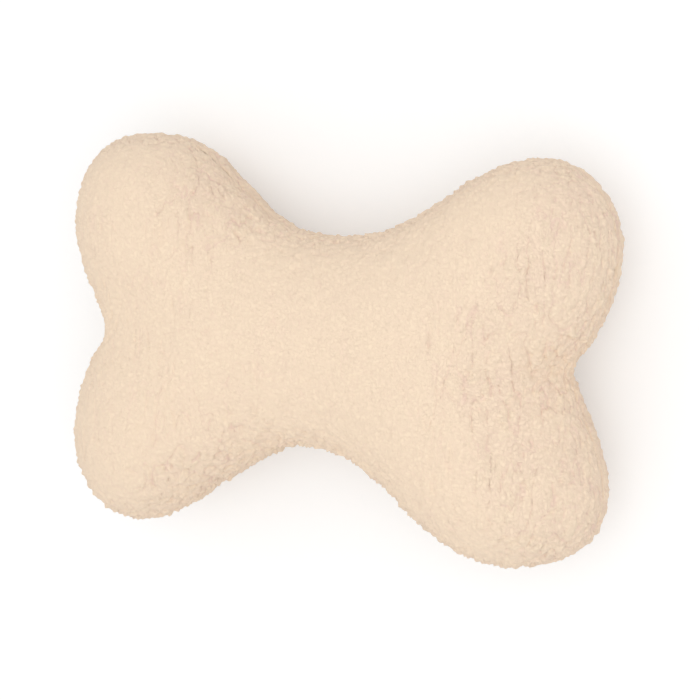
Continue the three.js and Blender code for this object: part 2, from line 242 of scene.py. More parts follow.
def add_world():
    """Even light from all round, and plain white for the camera."""
    world = bpy.data.worlds.new("soft_world")
    world.use_nodes = True
    tree = world.node_tree
    sky = tree.nodes["Background"]
    sky.inputs["Color"].default_value = WHITE
    direction = add_node(tree, "ShaderNodeTexCoord").outputs["Generated"]
    height = axis_value(tree, direction, "Z")
    glow = add_node(tree, "ShaderNodeMapRange", height, 0.0, 1.0, SKY_EDGE, SKY_TOP)
    strength = add_node(tree, "ShaderNodeMix")
    join(tree, add_node(tree, "ShaderNodeLightPath").outputs["Is Camera Ray"],
         strength.inputs["Factor"])
    join(tree, glow.outputs["Result"], strength.inputs["A"])
    join(tree, 1.0, strength.inputs["B"])
    join(tree, strength.outputs["Result"], sky.inputs["Strength"])
    bpy.context.scene.world = world
    return world


def add_key_lamp():
    """One large soft lamp that faces the toy."""
    data = bpy.data.lights.new("key_lamp", "AREA")
    data.energy = KEY_WATTS
    data.size = KEY_SIZE
    lamp = object_from(data, "key_lamp")
    lamp.location = KEY_PLACE
    lamp.rotation_mode = "QUATERNION"
    lamp.rotation_quaternion = (KEY_PLACE - toy_middle).to_track_quat("Z", "Y")
    return lamp


bpy.context.scene.view_settings.view_transform = "Standard"
print("Light comes from", add_world().name, "and", add_key_lamp().name)

# %% [markdown]
# Modifiers do most of the smoothing, so small helpers turn a bmesh into a mesh, and an object
# with modifiers into a plain mesh. Some operators list the faces of one and the same shape in
# another order on each run. Faces sorted by their corners come out the same each time, and so
# does everything that is built on them.

# %% Helpers for meshes
MERGE_DISTANCE = 0.002 * MM


def mesh_from(shape, name):
    """A mesh that holds the shape, with its faces in a settled order. The shape is freed."""
    shape.verts.index_update()
    settled = sorted(shape.faces, key=lambda face: sorted(point.index for point in face.verts))
    for place, face in enumerate(settled):
        face.index = place
    shape.faces.sort()
    mesh = bpy.data.meshes.new(name)
    shape.to_mesh(mesh)
    shape.free()
    return mesh


def evaluated_mesh(piece, name):
    """The mesh that the piece's modifiers make, as a plain mesh. The piece is removed."""
    seen = piece.evaluated_get(bpy.context.evaluated_depsgraph_get())
    mesh = bpy.data.meshes.new_from_object(seen)
    mesh.name = name
    bpy.data.objects.remove(piece)
    return mesh


def subdivided(mesh, levels):
    """The mesh after so many steps of smooth subdivision."""
    piece = object_from(mesh, "subdivided")
    modifier = piece.modifiers.new("smoothing", "SUBSURF")
    modifier.levels = modifier.render_levels = levels
    return evaluated_mesh(piece, mesh.name)


def points_of(mesh):
    """The mesh's corner points as rows of an array."""
    flat = np.empty(len(mesh.vertices) * 3, np.float32)
    mesh.vertices.foreach_get("co", flat)
    return flat.reshape(-1, 3).astype(float)


def move_points(mesh, points):
    """Puts the mesh's corner points where the rows say."""
    mesh.vertices.foreach_set("co", points.astype(np.float32).ravel())
    mesh.update()


def open_edges(mesh):
    """How many edges of the mesh lack a second face, which is 0 on a closed piece."""
    shape = bmesh.new()
    shape.from_mesh(mesh)
    count = sum(not edge.is_manifold for edge in shape.edges)
    shape.free()
    return count


print("Helpers for meshes are ready")

# %% [markdown]
# Both panels are cut from one pattern, so the pile side of the front panel is copied from the
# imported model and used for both. It could be drawn again, but a copy can't miss the packed
# size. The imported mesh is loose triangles, so its doubles are merged first. The pile side is
# every face that looks away from the toy's middle line, and its triangles joined in pairs
# give the even four-sided patches that smoothing likes.

# %% The shape of the pile side
SPINE_END = 50 * MM
OUTWARD_SUPPORT = 3 * MM


def packed_shape(node):
    """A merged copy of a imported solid."""
    shape = bmesh.new()
    shape.from_mesh(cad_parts[node].data)
    bmesh.ops.remove_doubles(shape, verts=shape.verts[:], dist=MERGE_DISTANCE)
    for layer in list(shape.loops.layers.uv.values()):
        shape.loops.layers.uv.remove(layer)
    return shape


def is_pile_side(face):
    """True for a face that looks away from the toy's middle line."""
    middle = face.calc_center_median()
    spine = Vector((max(-SPINE_END, min(SPINE_END, middle.x)), 0, seam_height))
    return (middle - spine).dot(face.normal) > OUTWARD_SUPPORT


def pile_side():
    """The outer surface of the front panel, from its middle to the bottom of the seam groove."""
    shape = packed_shape("front_panel")
    hidden = [face for face in shape.faces if not is_pile_side(face)]
    bmesh.ops.delete(shape, geom=hidden, context="FACES")
    bmesh.ops.join_triangles(shape, faces=shape.faces[:], angle_face_threshold=math.pi,
                             angle_shape_threshold=math.pi)
    return mesh_from(shape, "pile_side")


pile_patches = pile_side()
print("Pile side:", len(pile_patches.polygons), "patches, of which",
      sum(len(face.vertices) == 4 for face in pile_patches.polygons), "have four sides")

# %% [markdown]
# The sewn cover is the smoothed pile side and its mirror image, joined along the seam. The
# simulation below needs both panels as one closed bag. Each face is marked with its panel,
# so that the two can be parted again afterwards.

# %% The sewn cover
SEWING_LEVELS = 1
SEAM_JOIN = 1 * MM
FRONT_SIDE, BACK_SIDE = 0, 1


def sewn_cover():
    """Both panels joined along the seam, in patches of about four millimetres."""
    shape = bmesh.new()
    shape.from_mesh(subdivided(pile_patches, SEWING_LEVELS))
    for face in shape.faces:
        face.material_index = FRONT_SIDE
    copied = bmesh.ops.duplicate(shape, geom=shape.verts[:] + shape.edges[:] + shape.faces[:])
    back_points = [item for item in copied["geom"] if isinstance(item, bmesh.types.BMVert)]
    back_faces = [item for item in copied["geom"] if isinstance(item, bmesh.types.BMFace)]
    for face in back_faces:
        face.material_index = BACK_SIDE
    for point in back_points:
        point.co.z = max(0, 2 * seam_height - point.co.z)
    bmesh.ops.reverse_faces(shape, faces=back_faces)
    rim = [point for point in shape.verts if point.is_boundary]
    bmesh.ops.remove_doubles(shape, verts=rim, dist=SEAM_JOIN)
    return mesh_from(shape, "sewn_cover")


cover_mesh = sewn_cover()
print("Sewn cover:", len(cover_mesh.polygons), "patches, open edges:", open_edges(cover_mesh))

# %% [markdown]
# Stuffing pushes the fabric out everywhere except at the seam, where the stitches hold it.
# The swell could be sculpted by hand, but a cloth simulation with a little air pressure
# inside works it out from the cut and the seam. The fabric is let out by two hundredths
# first, because pile fabric is never as tight as a balloon. Held more loosely, it folded and
# drew in the waists, and the photograph shows a smooth body. So every point is held to the
# cut shape, and a cap on the moves keeps the toy in its size.

# %% The stuffing
STUFFING_PRESSURE = 4
FABRIC_GROWTH = 0.02
BENDING_STIFFNESS = 2
SHAPE_HOLD = 0.4
SEAM_HOLD = 1.0
LAST_FRAME = 20
LARGEST_MOVE = 1.5 * MM
TINY = 1e-9


def seam_points(mesh):
    """The indices of the points that both panels share."""
    sides = {}
    for face in mesh.polygons:
        for corner in face.vertices:
            sides.setdefault(corner, set()).add(face.material_index)
    return [corner for corner, found in sides.items() if len(found) == 2]


def blown_up(mesh):
    """The mesh after air pressure has strained it against its seam."""
    piece = object_from(mesh, "stuffed_cover")
    held = piece.vertex_groups.new(name="held")
    held.add(range(len(mesh.vertices)), SHAPE_HOLD, "REPLACE")
    held.add(seam_points(mesh), SEAM_HOLD, "REPLACE")
    cloth = piece.modifiers.new("stuffing", "CLOTH")
    cloth.settings.use_pressure = True
    cloth.settings.uniform_pressure_force = STUFFING_PRESSURE
    cloth.settings.vertex_group_mass = "held"
    cloth.settings.shrink_min = -FABRIC_GROWTH
    cloth.settings.bending_stiffness = BENDING_STIFFNESS
    cloth.settings.effector_weights.gravity = 0
    cloth.point_cache.frame_end = LAST_FRAME
    for number in range(1, LAST_FRAME + 1):
        bpy.context.scene.frame_set(number)
    blown = evaluated_mesh(piece, "stuffed_cover")
    bpy.context.scene.frame_set(1)
    return blown


def stuffed(mesh):
    """The stuffed mesh, with its moves capped and its lowest points on the table."""
    rest = points_of(mesh)
    blown = blown_up(mesh)
    moves = points_of(blown) - rest
    lengths = np.linalg.norm(moves, axis=1)
    moves *= np.minimum(1, LARGEST_MOVE / np.maximum(lengths, TINY))[:, None]
    points = rest + moves
    points[:, 2] = np.maximum(points[:, 2], 0)
    move_points(blown, points)
    print("The stuffing moved the fabric by", round(lengths.mean() / MM, 2), "mm on average")
    return blown


cover_mesh = stuffed(cover_mesh)

# %% [markdown]
# Sherpa fleece has a curled pile that clots into clumps, a few millimetres wide and nearly
# twice as long up the picture. A bump texture alone would leave the toy's outline smooth, and
# the real clumps stand out there, so they are made in the mesh. Geometry Nodes move every
# point of a fine mesh by a pattern at once. Straight patterns look printed, so each one is
# read at a place that a noise has moved about a little.

# %% A place that wanders
WANDER = 1.0 * MM
WANDER_SIZE = 4 * MM
SHAKE_DETAIL, SHAKE_ROUGHNESS = 2.0, 0.6
MIDDLE_GREY = (0.5, 0.5, 0.5)


def scaled_by(tree, vector, factor):
    """The vector times a number."""
    node = add_node(tree, "ShaderNodeVectorMath", operation="SCALE")
    join(tree, vector, node.inputs[0])
    join(tree, factor, node.inputs["Scale"])
    return node.outputs[0]


def shaken(tree, place, reach, size):
    """The place moved about by a noise, so that no pattern runs straight."""
    drift = add_node(tree, "ShaderNodeTexNoise", place, 1 / size, SHAKE_DETAIL,
                     SHAKE_ROUGHNESS).outputs["Color"]
    centred = vectors(tree, "SUBTRACT", drift, MIDDLE_GREY)
    return vectors(tree, "ADD", place, scaled_by(tree, centred, 2 * reach))


print("Patterns wander by up to", round(WANDER / MM, 1), "mm")

# %% [markdown]
# In the photograph the nap looks stroked to the left. On slopes that look left the pile lies
# smooth, and on slopes that look right it stands up and shows its clumps, more so towards
# the right end. Beside the seam it is ruffled all round. Painting such a mask by hand would
# tie it to one mesh, so it is worked out at each point from the slope and from the height
# over the seam, and a broad noise keeps the areas uneven.

# %% Where the pile stands up
STROKED_SLOPE, RAISED_SLOPE = 0.0, 0.58
MORE_TO_THE_RIGHT = 1.5
STROKED_RELIEF = 0.28
PATCH_SIZE = 16 * MM
PATCH_LOW, PATCH_HIGH = 0.35, 0.6
PATCH_RELIEF = 0.6
RIM_NEAR, RIM_FAR = 6 * MM, 30 * MM
RIM_RELIEF = 0.75
GROOVE_NEAR, GROOVE_FAR = 0.1 * MM, 2.5 * MM


def seam_distance(tree, place):
    """How far a place lies above or below the seam."""
    level = axis_value(tree, place, "Z")
    return maths(tree, "ABSOLUTE", maths(tree, "SUBTRACT", level, seam_height))


def raised_mask(tree, place, normal, from_seam):
    """1 where the pile stands up in clumps, and little where it lies stroked."""
    slope = axis_value(tree, normal, "X")
    along = axis_value(tree, place, "X")
    to_right = maths(tree, "MULTIPLY_ADD", along, MORE_TO_THE_RIGHT, slope)
    slope = smooth_step(tree, to_right, STROKED_SLOPE, RAISED_SLOPE, STROKED_RELIEF, 1.0)
    patches = smooth_step(tree, noise_value(tree, place, PATCH_SIZE), PATCH_LOW, PATCH_HIGH,
                          PATCH_RELIEF, 1.0)
    rim = smooth_step(tree, from_seam, RIM_NEAR, RIM_FAR, RIM_RELIEF, 0.0)
    return maths(tree, "MAXIMUM", maths(tree, "MULTIPLY", slope, patches), rim)


print("The pile is ruffled within", round(RIM_NEAR / MM), "mm of the seam's height")

# %% [markdown]
# A clump is a cushion of fibre with its own height, parted from its neighbours by a narrow
# gap. Voronoi cells are such a pattern: their distance to the edge rounds each clump, and
# their random colour gives it its height. The pile also parts in cracks, which are a little
# stronger on the left knobs. Lines where a stretched noise crosses its middle value run like
# that, and a second noise breaks them into short, jagged lengths.

# %% Clumps and partings
CLUMP_SIZE = (3.8 * MM, 7.0 * MM, 3.8 * MM)
CLUMP_EDGE, CLUMP_TOP = -0.04, 0.3
CLUMP_LEAST, CLUMP_SPREAD = 0.15, 1.0
PARTING_SIZE = (6.0 * MM, 26.0 * MM, 6.0 * MM)
PARTING_START = (7.7, 1.3, 3.9)
PARTING_WIDTH = 0.06
VEIN_DETAIL, VEIN_ROUGHNESS = 1.0, 0.5
BREAK_SIZE = 5 * MM
BREAK_LOW, BREAK_HIGH = 0.38, 0.48
STRONG_END, WEAK_END = -60 * MM, 10 * MM
STRONG_PARTING, WEAK_PARTING = 1.15, 0.85
MIDDLE_VALUE = 0.5


def clump_cells(tree, moved):
    """The distance of each place to the edge of its clump."""
    cells = vectors(tree, "DIVIDE", moved, CLUMP_SIZE)
    return add_node(tree, "ShaderNodeTexVoronoi", cells, 1.0, feature="DISTANCE_TO_EDGE").outputs[0]


def clump_heights(tree, moved):
    """The rounded height of the clumps, and the random value that each of them has."""
    cells = vectors(tree, "DIVIDE", moved, CLUMP_SIZE)
    colour = add_node(tree, "ShaderNodeTexVoronoi", cells, 1.0, feature="F1").outputs["Color"]
    chance = add_node(tree, "FunctionNodeSeparateColor", colour).outputs[0]
    top = maths(tree, "MULTIPLY_ADD", chance, CLUMP_SPREAD, CLUMP_LEAST)
    rounded = smooth_step(tree, clump_cells(tree, moved), CLUMP_EDGE, CLUMP_TOP)
    return maths(tree, "MULTIPLY", rounded, top), chance


def partings(tree, place, moved, width):
    """The strength of the cracks where the pile parts, in short lengths of that width."""
    stretched = vectors(tree, "DIVIDE", moved, PARTING_SIZE)
    stretched = vectors(tree, "ADD", stretched, PARTING_START)
    veins = noise_value(tree, stretched, 1.0, VEIN_DETAIL, VEIN_ROUGHNESS)
    vein = maths(tree, "ABSOLUTE", maths(tree, "SUBTRACT", veins, MIDDLE_VALUE))
    broken = smooth_step(tree, noise_value(tree, place, BREAK_SIZE), BREAK_LOW, BREAK_HIGH)
    along = axis_value(tree, place, "X")
    strength = smooth_step(tree, along, STRONG_END, WEAK_END, STRONG_PARTING, WEAK_PARTING)
    lines = maths(tree, "MULTIPLY", smooth_step(tree, vein, 0.0, width, 1.0, 0.0), broken)
    return maths(tree, "MULTIPLY", lines, strength)


print("Clumps in mm:", [round(side / MM, 1) for side in CLUMP_SIZE])

# %% [markdown]
# The clumps are themselves made of curls, which are round and about two and a half millimetres
# wide. Inside the stroked area they hardly show, and along the seam they stick out and give
# the toy its bumpy outline. The patterns are added up in one tree, which moves each point
# along the surface's direction and a little with the nap. On each point it stores the place
# that the point had before, and two masks, so that the material can follow the relief and
# paint shade on the low clumps.

# %% The relief as a node tree
CURL_SIZE = 2.6 * MM
CURL_HEIGHT = 0.25 * MM
RIM_CURL_HEIGHT = 0.95 * MM
CURL_SMOOTHNESS = 0.3
CURL_SLOPE, CURL_MIDDLE = -2.0, 1.0
CLUMP_HEIGHT = 0.75 * MM
PARTING_DEPTH = 0.8 * MM
PILE_LIFT = 0.2 * MM
NAP_LEAN = (-0.3, -0.3, 0.0)


def stored(tree, geometry, name, value, kind="FLOAT"):
    """The geometry with a value kept on each point under that name."""
    store = add_node(tree, "GeometryNodeStoreNamedAttribute", geometry, data_type=kind,
                     domain="POINT")
    join(tree, name, store.inputs["Name"])
    join(tree, value, store.inputs["Value"])
    return store.outputs[0]


def curl_pattern(tree, moved, from_seam):
    """The height of the curls, which is greatest along the seam."""
    curl = add_node(tree, "ShaderNodeTexVoronoi", moved, 1 / CURL_SIZE, feature="SMOOTH_F1")
    join(tree, CURL_SMOOTHNESS, curl.inputs["Smoothness"])
    height = smooth_step(tree, from_seam, RIM_NEAR, RIM_FAR, RIM_CURL_HEIGHT, CURL_HEIGHT)
    centred = maths(tree, "MULTIPLY_ADD", curl.outputs[0], CURL_SLOPE, CURL_MIDDLE)
    return maths(tree, "MULTIPLY", centred, height)


def relief_tree():
    """Geometry nodes that raise clumps and curls of pile and part it in short cracks."""
    tree = bpy.data.node_groups.new("pile_relief", "GeometryNodeTree")
    add_sockets(tree, "INPUT", Geometry="Geometry")
    add_sockets(tree, "OUTPUT", Geometry="Geometry")
    place = add_node(tree, "GeometryNodeInputPosition").outputs[0]
    normal = add_node(tree, "GeometryNodeInputNormal").outputs[0]
    moved = shaken(tree, place, WANDER, WANDER_SIZE)
    from_seam = seam_distance(tree, place)
    raised = raised_mask(tree, place, normal, from_seam)
    clumps, chance = clump_heights(tree, moved)

    lift = maths(tree, "MULTIPLY", clumps, CLUMP_HEIGHT)
    lift = maths(tree, "MULTIPLY_ADD", partings(tree, place, moved, PARTING_WIDTH),
                 -PARTING_DEPTH, lift)
    lift = maths(tree, "MULTIPLY_ADD", lift, raised, curl_pattern(tree, moved, from_seam))
    lift = maths(tree, "ADD", lift, PILE_LIFT)
    lift = maths(tree, "MULTIPLY", lift, smooth_step(tree, from_seam, GROOVE_NEAR, GROOVE_FAR))

    # Painted shade: the lower clumps, where the pile stands up, are marked for the fleece's shade colour.
    low_tuft_shade = maths(tree, "MULTIPLY", maths(tree, "SUBTRACT", 1.0, chance), raised)
    geometry = add_node(tree, "NodeGroupInput").outputs[0]
    geometry = stored(tree, geometry, "first_place", place, "FLOAT_VECTOR")
    geometry = stored(tree, geometry, "low_tuft_shade", low_tuft_shade)
    geometry = stored(tree, geometry, "raised", raised)
    mover = add_node(tree, "GeometryNodeSetPosition")
    join(tree, geometry, mover.inputs["Geometry"])
    join(tree, scaled_by(tree, vectors(tree, "ADD", normal, NAP_LEAN), lift),
         mover.inputs["Offset"])
    add_node(tree, "NodeGroupOutput", mover.outputs[0])
    return tree


relief = relief_tree()
print("The relief has", len(relief.nodes), "nodes")

# %% [markdown]
# Between the clumps and the fibres there is one more size of detail: fine curled strands,
# about a millimetre apart. They are too fine for the mesh, so they are a bump and a mask, which
# the fleece uses for painted shade between them.
# The lines where a warped noise crosses its middle value wind like the gaps between them.
# The pattern is a node group, so that its size and depth can be set where it is used.

# %% The curled pile as a shader group
CURL_DETAIL = 2.0
CURL_DISTORTION = 0.8
CURL_LINE = 0.11


def pile_group():
    """Fine curled strands: a mask that is 1 on them and 0 between them, and their bump."""
    group = bpy.data.node_groups.new("curled_pile", "ShaderNodeTree")
    add_sockets(group, "INPUT", Size="Float", Depth="Float")
    add_sockets(group, "OUTPUT", Curls="Float", Normal="Vector")
    entry = add_node(group, "NodeGroupInput")
    place = add_node(group, "ShaderNodeTexCoord").outputs["Object"]
    sized = vectors(group, "DIVIDE", place, entry.outputs["Size"])
    worms = add_node(group, "ShaderNodeTexNoise", sized)
    join(group, 1.0, worms.inputs["Scale"])
    join(group, CURL_DETAIL, worms.inputs["Detail"])
    join(group, CURL_DISTORTION, worms.inputs["Distortion"])
    line = maths(group, "ABSOLUTE", maths(group, "SUBTRACT", worms.outputs[0], MIDDLE_VALUE))
    curls = smooth_step(group, line, 0.0, CURL_LINE)
    bump = add_node(group, "ShaderNodeBump")
    join(group, 1.0, bump.inputs["Strength"])
    join(group, entry.outputs["Depth"], bump.inputs["Distance"])
    join(group, curls, bump.inputs["Height"])
    add_node(group, "NodeGroupOutput", curls, bump.outputs[0])
    return group


curled_pile = pile_group()
print("The group", curled_pile.name, "has", len(curled_pile.nodes), "nodes")

# %% [markdown]
# The gaps between the clumps are thinner than the patches of the mesh. A finer mesh would be
# heavy, so the material draws the same cells and partings again at the stored places, as
# thin lines of painted shade and a bump in the valleys of the relief. A fine noise frays them,
# as loose fibre does, and a coarser one closes a part of them, where neighbouring clumps have
# felted together.

# %% The thin gaps as a shader group
FRAY = 0.45 * MM
FRAY_SIZE = 0.9 * MM
THIN_GAP = 0.09
THIN_GAP_SHARE = 0.45
THIN_PARTING = 0.028
CLOSED_SIZE = 3.2 * MM
CLOSED_LOW, CLOSED_HIGH = 0.42, 0.62


def gap_group():
    """A mask that is 1 in the gaps and partings of the pile."""
    group = bpy.data.node_groups.new("thin_gaps", "ShaderNodeTree")
    add_sockets(group, "INPUT", Place="Vector", Raised="Float")
    add_sockets(group, "OUTPUT", Gaps="Float")
    entry = add_node(group, "NodeGroupInput")
    place = entry.outputs["Place"]
    moved = shaken(group, place, WANDER, WANDER_SIZE)
    frayed = shaken(group, moved, FRAY, FRAY_SIZE)
    gaps = smooth_step(group, clump_cells(group, frayed), 0.0, THIN_GAP, THIN_GAP_SHARE, 0.0)
    open_here = smooth_step(group, noise_value(group, place, CLOSED_SIZE), CLOSED_LOW, CLOSED_HIGH)
    gaps = maths(group, "MULTIPLY", gaps, open_here)
    both = maths(group, "MAXIMUM", gaps, partings(group, place, frayed, THIN_PARTING))
    add_node(group, "NodeGroupOutput", maths(group, "MULTIPLY", both, entry.outputs["Raised"]))
    return group


thin_gaps = gap_group()
print("The group", thin_gaps.name, "has", len(thin_gaps.nodes), "nodes")

# %% [markdown]
# The fleece is cream on the tips of the pile. Between the fine strands, in the gaps and on the
# lower clumps, a warmer, pinker colour is painted shade, where the pile lies in its own shadow.
# Two colours mixed by the masks give that at little cost, and in the gaps and on the low clumps
# the shade follows where the pile stands up. The surface is fully rough, with a faint sheen from
# the loose fibre ends.

# %% The fleece's finish
TIP_COLOUR = (0.91, 0.735, 0.552, 1)
# The second colour is painted shade for the hollows of the pile.
PAINTED_SHADE_COLOUR = (0.78, 0.50, 0.47, 1)
STRAND_SIZE = 1.3 * MM
STROKED_DEPTH, RAISED_DEPTH = 0.09 * MM, 0.13 * MM
# How much painted shade goes between the strands, into the gaps and onto the low clumps.
SHADE_BETWEEN_STRANDS = 0.08
SHADE_IN_GAPS = 0.33
GAP_DEPTH = 0.08 * MM
SHADE_ON_LOW_TUFTS = 0.12
FLEECE_ROUGHNESS = 1.0
FLEECE_SHEEN, FLEECE_SHEEN_ROUGHNESS = 0.1, 0.5


def kept_mask(tree, name):
    """A mask that the relief stored on the points."""
    return add_node(tree, "ShaderNodeAttribute", attribute_name=name).outputs["Fac"]


def fleece_material():
    """Cream pile with painted shade in its gaps and a fine curled surface."""
    material, tree, surface = new_material("sherpa_fleece")
    raised = kept_mask(tree, "raised")
    pile = add_node(tree, "ShaderNodeGroup", node_tree=curled_pile)
    join(tree, STRAND_SIZE, pile.inputs["Size"])
    join(tree, smooth_step(tree, raised, 0.0, 1.0, STROKED_DEPTH, RAISED_DEPTH),
         pile.inputs["Depth"])
    parted = add_node(tree, "ShaderNodeGroup", node_tree=thin_gaps)
    first_place = add_node(tree, "ShaderNodeAttribute", attribute_name="first_place")
    join(tree, first_place.outputs["Vector"], parted.inputs["Place"])
    join(tree, raised, parted.inputs["Raised"])
    gaps = parted.outputs["Gaps"]

    # Painted shade: the pinker colour goes between the strands, into the gaps and onto the low clumps.
    between = maths(tree, "SUBTRACT", 1.0, pile.outputs["Curls"])
    painted_shade = maths(tree, "MULTIPLY", between, SHADE_BETWEEN_STRANDS)
    painted_shade = maths(tree, "MULTIPLY_ADD", gaps, SHADE_IN_GAPS, painted_shade)
    painted_shade = maths(tree, "MULTIPLY_ADD", kept_mask(tree, "low_tuft_shade"), SHADE_ON_LOW_TUFTS, painted_shade)
    join(tree, mixed_colour(tree, painted_shade, TIP_COLOUR, PAINTED_SHADE_COLOUR), surface.inputs["Base Color"])
    sunk = add_node(tree, "ShaderNodeBump", invert=True)
    join(tree, GAP_DEPTH, sunk.inputs["Distance"])
    join(tree, gaps, sunk.inputs["Height"])
    join(tree, pile.outputs["Normal"], sunk.inputs["Normal"])
    join(tree, sunk.outputs["Normal"], surface.inputs["Normal"])
    surface.inputs["Roughness"].default_value = FLEECE_ROUGHNESS
    surface.inputs["Sheen Weight"].default_value = FLEECE_SHEEN
    surface.inputs["Sheen Roughness"].default_value = FLEECE_SHEEN_ROUGHNESS
    return material


fleece = fleece_material()
print("Finish of the panels:", fleece.name)

# %% [markdown]
# Each panel is a closed piece of fabric: a pile side, an inner side, and a seam allowance that
# turns in along the stitches. The stuffed cover is parted again into its two pile sides,
# which are made fine and given their relief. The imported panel's inner faces are good as they
# are, so they close each panel, and only the two rims are bridged. Both rims follow the same
# ring of points, which keeps the seam closed. The toy lies on its back panel, so pile that
# would reach through the table is pressed flat just above it.

# %% The panels
FINE_LEVELS = 3
TABLE_GAP = 0.01 * MM


def fine_pile(side, name):
    """One panel's pile side in patches of half a millimetre."""
    shape = bmesh.new()
    shape.from_mesh(cover_mesh)
    others = [face for face in shape.faces if face.material_index != side]
    bmesh.ops.delete(shape, geom=others, context="FACES")
    for face in shape.faces:
        face.material_index = 0
    return subdivided(mesh_from(shape, name), FINE_LEVELS)


def with_relief(mesh):
    """The mesh with its clumps and curls, pressed flat where it lies on the table."""
    piece = object_from(mesh, "relief")
    piece.modifiers.new("pile", "NODES").node_group = relief
    rough = evaluated_mesh(piece, mesh.name)
    points = points_of(rough)
    points[:, 2] = np.maximum(points[:, 2], TABLE_GAP)
    move_points(rough, points)
    return rough


def add_inner_side(mesh, node):
    """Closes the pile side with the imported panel's inner faces."""
    shape = packed_shape(node)
    pile = [face for face in shape.faces if is_pile_side(face)]
    bmesh.ops.delete(shape, geom=pile, context="FACES")
    shape.from_mesh(mesh)
    rims = [edge for edge in shape.edges if edge.is_boundary]
    bridge = bmesh.ops.bridge_loops(shape, edges=rims)
    bmesh.ops.triangulate(shape, faces=bridge["faces"])
    shape.to_mesh(mesh)
    shape.free()


def fleece_panel(side, node, name):
    """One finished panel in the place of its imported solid."""
    mesh = with_relief(fine_pile(side, name))
    add_inner_side(mesh, node)
    mesh.shade_smooth()
    mesh.materials.clear()
    mesh.materials.append(fleece)
    piece = object_from(mesh, name)
    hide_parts(node)
    print(name + ":", len(mesh.polygons), "faces, open edges:", open_edges(mesh))
    return piece


panels = [fleece_panel(FRONT_SIDE, "front_panel", "front_fleece"),
          fleece_panel(BACK_SIDE, "back_panel", "back_fleece")]

# %% [markdown]
# The filling is loose polyester fibre that has taken the shape of the space it was pushed
# into. Strands of it would be far too many to draw, and they stay inside the cover. So each
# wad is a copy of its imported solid, whose cut edges a voxel mesh rounds, and a little noise
# gives it the lumps of hand-pulled fibre. The rounding also closes the groove that the packed
# wads keep round the seam allowance, so the allowance lies sunk in the fibre, and some lumps
# press into the pieces beside them. That is a known fault, hidden inside the closed toy.

# %% The filling
WAD_VOXEL = 2.5 * MM
WAD_SMOOTHING = 4
WAD_LUMP_SIZE = 6 * MM
WAD_LUMP_HEIGHT = 0.8 * MM
WAD_SINK = 0.6
LUMP_SHARPNESS, LUMP_RATIO, LUMP_OCTAVES = 1.0, 2.0, 3
WAD_NODES = ("filling_top_right", "filling_top_left", "filling_bottom_left",
             "filling_bottom_right", "filling_front", "filling_back")


def rounded_copy(node):
    """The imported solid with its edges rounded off."""
    piece = object_from(mesh_from(packed_shape(node), node), node + "_fibre")
    even = piece.modifiers.new("even", "REMESH")
    even.mode = "VOXEL"
    even.voxel_size = WAD_VOXEL
    piece.modifiers.new("soft", "SMOOTH").iterations = WAD_SMOOTHING
    return evaluated_mesh(piece, node + "_fibre")


def fibre_wad(node):
    """A soft, lumpy wad in the place of a packed filling solid."""
    mesh = rounded_copy(node)
    points = points_of(mesh)
    normals = np.empty(points.size, np.float32)
    mesh.vertex_normals.foreach_get("vector", normals)
    lumps = [noise.fractal(Vector(point / WAD_LUMP_SIZE), LUMP_SHARPNESS, LUMP_RATIO, LUMP_OCTAVES)
             for point in points]
    push = (np.array(lumps)[:, None] - WAD_SINK) * WAD_LUMP_HEIGHT
    move_points(mesh, points + normals.reshape(-1, 3) * push)
    mesh.shade_smooth()
    mesh.materials.clear()
    wad = object_from(mesh, node + "_fibre")
    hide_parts(node)
    return wad


wads = [fibre_wad(node) for node in WAD_NODES]
for wad in wads:
    print(wad.name + ":", len(wad.data.polygons), "faces, open edges:", open_edges(wad.data))

# %% [markdown]
# The squeaker is a blown disc of soft plastic with a neck for its whistle. Its wall could be
# a thickened surface, but the disc, its parting fin, its neck and its bore are all turned
# shapes, so each is a profile that is spun round an axis.

# %% Turned shapes
SPIN_STEPS = 72


def closed_profile(shape, profile):
    """The profile's points and edges, closed by one more edge where it stands off the axis."""
    points = [shape.verts.new((radius, 0, height)) for radius, height in profile]
    edges = [shape.edges.new(pair) for pair in zip(points, points[1:])]
    if profile[0][0] > 0 or profile[-1][0] > 0:
        edges.append(shape.edges.new((points[-1], points[0])))
    return points + edges


def spun(profile, axis, middle, name):
    """A closed body spun from a list of (radius, height) points about X or Z."""
    shape = bmesh.new()
    bmesh.ops.spin(shape, geom=closed_profile(shape, profile), cent=(0, 0, 0), axis=(0, 0, 1),
                   dvec=(0, 0, 0), angle=2 * math.pi, steps=SPIN_STEPS, use_merge=True,
                   use_duplicate=False)
    bmesh.ops.remove_doubles(shape, verts=shape.verts[:], dist=MERGE_DISTANCE)
    bmesh.ops.dissolve_degenerate(shape, edges=shape.edges[:], dist=MERGE_DISTANCE)
    if axis == "X":
        bmesh.ops.rotate(shape, verts=shape.verts[:], cent=(0, 0, 0),
                         matrix=Matrix.Rotation(math.pi / 2, 3, "Y"))
    bmesh.ops.translate(shape, verts=shape.verts[:], vec=middle)
    bmesh.ops.recalc_face_normals(shape, faces=shape.faces[:])
    return object_from(mesh_from(shape, name), name)


print("Turned shapes have", SPIN_STEPS, "sides")

# %% [markdown]
# The disc's edge is a half circle, and a flat fin runs round it where the two halves of the
# mould met. Boolean modifiers join disc, fin and neck, and then cut the hollow and the bore,
# which is wide enough for the whistle's sleeve and a little play.

# %% The squeaker bulb
BULB_WALL = 0.9 * MM
FIN_WIDTH = 1.2 * MM
FIN_THICKNESS = 0.8 * MM
FIN_ROUND = 0.15 * MM
ARC_STEPS = 18
SLEEVE_BORE = 3.6 * MM
SLEEVE_WALL = 0.8 * MM
SLEEVE_PLAY = 0.3 * MM

